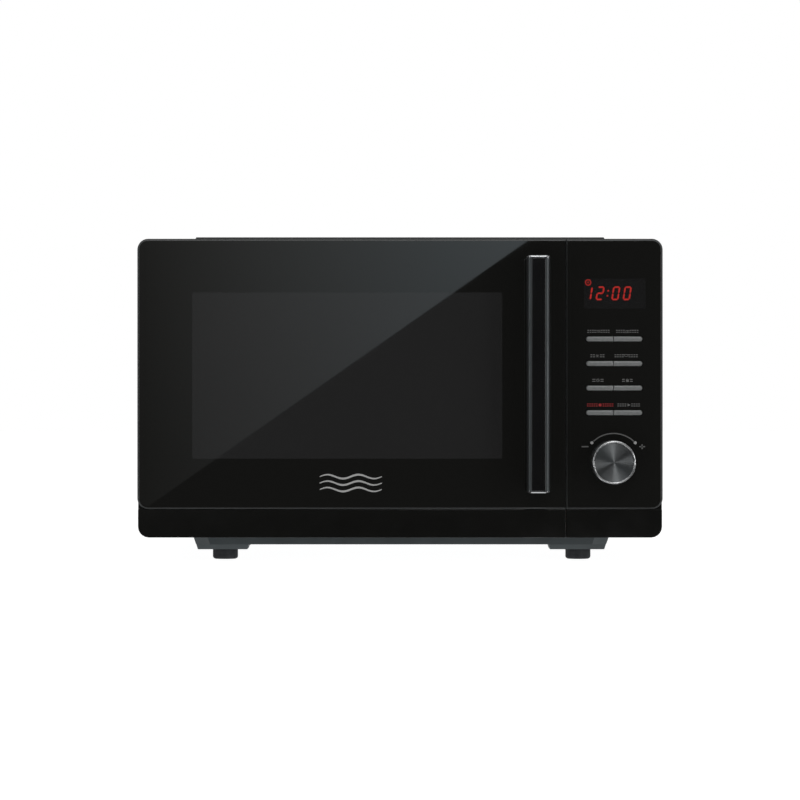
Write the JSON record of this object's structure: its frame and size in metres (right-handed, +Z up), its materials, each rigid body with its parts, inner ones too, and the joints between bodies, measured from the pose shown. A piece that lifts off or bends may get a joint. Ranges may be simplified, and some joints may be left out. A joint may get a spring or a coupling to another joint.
{
  "type": "microwave oven",
  "caption": "Countertop microwave oven with a side-hung glass door and bar handle, pill-shaped keys, a jog knob, a digital clock and a turntable.",
  "frame": {"origin": "on the ground plane, under the middle of the oven's overall box", "axes": "the front faces -Y, +X is to the right of a viewer facing the front, +Z is up"},
  "size_m": [0.508, 0.449, 0.3176],
  "materials": {
    "front_glass": "black gloss film over clear glass",
    "black_plastic": "fine moulded texture",
    "painted_steel": "satin dark powder coat",
    "oven_enamel": "light grey enamel",
    "zinc_steel": "zinc plated sheet",
    "dark_chrome": "dark satin chrome",
    "inlay_gloss": "black piano gloss",
    "knob_metal": "spun face with a bright rim",
    "key_plastic": "satin silver-grey",
    "display_lens": "dark display window",
    "foot_rubber": "matt rubber",
    "clear_glass": "clear pressed glass",
    "clear_film": "clear inner film",
    "white_plastic": "natural moulded plastic",
    "mica": "pressed mica sheet",
    "coil_copper": "enamelled windings on a laminated core",
    "board": "printed circuit board",
    "can_aluminium": "drawn can",
    "screw_steel": "plated screw"
  },
  "bodies": {
    "chassis": {"cavity_box": "oven_enamel", "outer_cabinet": "painted_steel", "base_plate": "zinc_steel", "rear_plate": "zinc_steel", "foot_front_left": "foot_rubber", "foot_front_right": "foot_rubber", "foot_rear_left": "foot_rubber", "foot_rear_right": "foot_rubber", "control_housing": "black_plastic", "control_glass": "front_glass", "display_module": "display_lens", "control_board": "board", "knob_encoder": "zinc_steel", "interlock_bracket": "white_plastic", "switch_primary": "black_plastic", "switch_secondary": "black_plastic", "switch_monitor": "black_plastic", "magnetron": "can_aluminium", "waveguide": "zinc_steel", "waveguide_cover": "mica", "transformer": "coil_copper", "capacitor": "can_aluminium", "voltage_diode": "black_plastic", "fan_shroud": "black_plastic", "fan_motor": "zinc_steel", "cavity_lamp": "clear_glass", "noise_filter": "board", "turntable_motor": "zinc_steel", "hinge_upper": "zinc_steel", "hinge_lower": "zinc_steel", "cord_bushing": "black_plastic", "cabinet_screw_1": "screw_steel", "cabinet_screw_2": "screw_steel", "cabinet_screw_3": "screw_steel", "cabinet_screw_4": "screw_steel"},
    "door": {"door_frame": "black_plastic", "door_glass": "front_glass", "door_screen": "painted_steel", "choke_cover": "black_plastic", "door_inner_film": "clear_film", "handle": "dark_chrome", "handle_inlay": "inlay_gloss", "latch_spring": "zinc_steel"},
    "latch": {"door_latch": "white_plastic"},
    "knob": {"knob": "knob_metal"},
    "fan": {"fan_blade": "white_plastic"},
    "coupler": {"turntable_coupler": "white_plastic"},
    "tray": {"glass_tray": "clear_glass"},
    "ring": {"roller_ring": "white_plastic"},
    "wheel_1": {"roller_wheel_1": "white_plastic"},
    "wheel_2": {"roller_wheel_2": "white_plastic"},
    "wheel_3": {"roller_wheel_3": "white_plastic"},
    "key_1_left": {"key_1_left": "key_plastic"},
    "key_1_right": {"key_1_right": "key_plastic"},
    "key_2_left": {"key_2_left": "key_plastic"},
    "key_2_right": {"key_2_right": "key_plastic"},
    "key_3_left": {"key_3_left": "key_plastic"},
    "key_3_right": {"key_3_right": "key_plastic"},
    "key_4_left": {"key_4_left": "key_plastic"},
    "key_4_right": {"key_4_right": "key_plastic"}
  },
  "joints": [
    {"name": "door_hinge", "type": "hinge", "parent": "chassis", "child": "door", "pos_m": [-0.2485, -0.1615, 0.16], "axis": [0, 0, -1], "range_deg": [0, 110]},
    {"name": "latch_slide", "type": "slide", "parent": "door", "child": "latch", "axis": [0, 0, 1], "range_m": [0, 0.003], "stiffness_N_per_m": 200, "deforming": ["latch_spring"]},
    {"name": "knob_turn", "type": "hinge", "parent": "chassis", "child": "knob", "pos_m": [0.2057, -0.195, 0.0964], "axis": [0, -1, 0], "continuous": true},
    {"name": "fan_spin", "type": "hinge", "parent": "chassis", "child": "fan", "pos_m": [0.189, 0.1965, 0.18], "axis": [0, 1, 0], "continuous": true},
    {"name": "turntable_spin", "type": "hinge", "parent": "chassis", "child": "coupler", "pos_m": [-0.051, 0.018, 0.065], "axis": [0, 0, 1], "continuous": true},
    {"name": "tray_lift", "type": "slide", "parent": "coupler", "child": "tray", "axis": [0, 0, 1], "range_m": [0, 0.02]},
    {"name": "ring_spin", "type": "hinge", "parent": "chassis", "child": "ring", "pos_m": [-0.051, 0.018, 0.0698], "axis": [0, 0, 1], "continuous": true},
    {"name": "wheel_1_spin", "type": "hinge", "parent": "ring", "child": "wheel_1", "pos_m": [-0.051, 0.11, 0.0698], "axis": [0, 1, 0], "continuous": true},
    {"name": "wheel_2_spin", "type": "hinge", "parent": "ring", "child": "wheel_2", "pos_m": [-0.13067, -0.028, 0.0698], "axis": [-0.866, -0.5, 0], "continuous": true},
    {"name": "wheel_3_spin", "type": "hinge", "parent": "ring", "child": "wheel_3", "pos_m": [0.02867, -0.028, 0.0698], "axis": [0.866, -0.5, 0], "continuous": true},
    {"name": "key_1_left_press", "type": "slide", "parent": "chassis", "child": "key_1_left", "axis": [0, 1, 0], "range_m": [0, 0.001], "stiffness_N_per_m": 400},
    {"name": "key_1_right_press", "type": "slide", "parent": "chassis", "child": "key_1_right", "axis": [0, 1, 0], "range_m": [0, 0.001], "stiffness_N_per_m": 400},
    {"name": "key_2_left_press", "type": "slide", "parent": "chassis", "child": "key_2_left", "axis": [0, 1, 0], "range_m": [0, 0.001], "stiffness_N_per_m": 400},
    {"name": "key_2_right_press", "type": "slide", "parent": "chassis", "child": "key_2_right", "axis": [0, 1, 0], "range_m": [0, 0.001], "stiffness_N_per_m": 400},
    {"name": "key_3_left_press", "type": "slide", "parent": "chassis", "child": "key_3_left", "axis": [0, 1, 0], "range_m": [0, 0.001], "stiffness_N_per_m": 400},
    {"name": "key_3_right_press", "type": "slide", "parent": "chassis", "child": "key_3_right", "axis": [0, 1, 0], "range_m": [0, 0.001], "stiffness_N_per_m": 400},
    {"name": "key_4_left_press", "type": "slide", "parent": "chassis", "child": "key_4_left", "axis": [0, 1, 0], "range_m": [0, 0.001], "stiffness_N_per_m": 400},
    {"name": "key_4_right_press", "type": "slide", "parent": "chassis", "child": "key_4_right", "axis": [0, 1, 0], "range_m": [0, 0.001], "stiffness_N_per_m": 400}
  ],
  "couplings": [
    {"joint": "ring_spin", "follows": "turntable_spin", "ratio": 0.5},
    {"joint": "wheel_1_spin", "follows": "turntable_spin", "ratio": -6.1333},
    {"joint": "wheel_2_spin", "follows": "turntable_spin", "ratio": -6.1333},
    {"joint": "wheel_3_spin", "follows": "turntable_spin", "ratio": -6.1333}
  ]
}
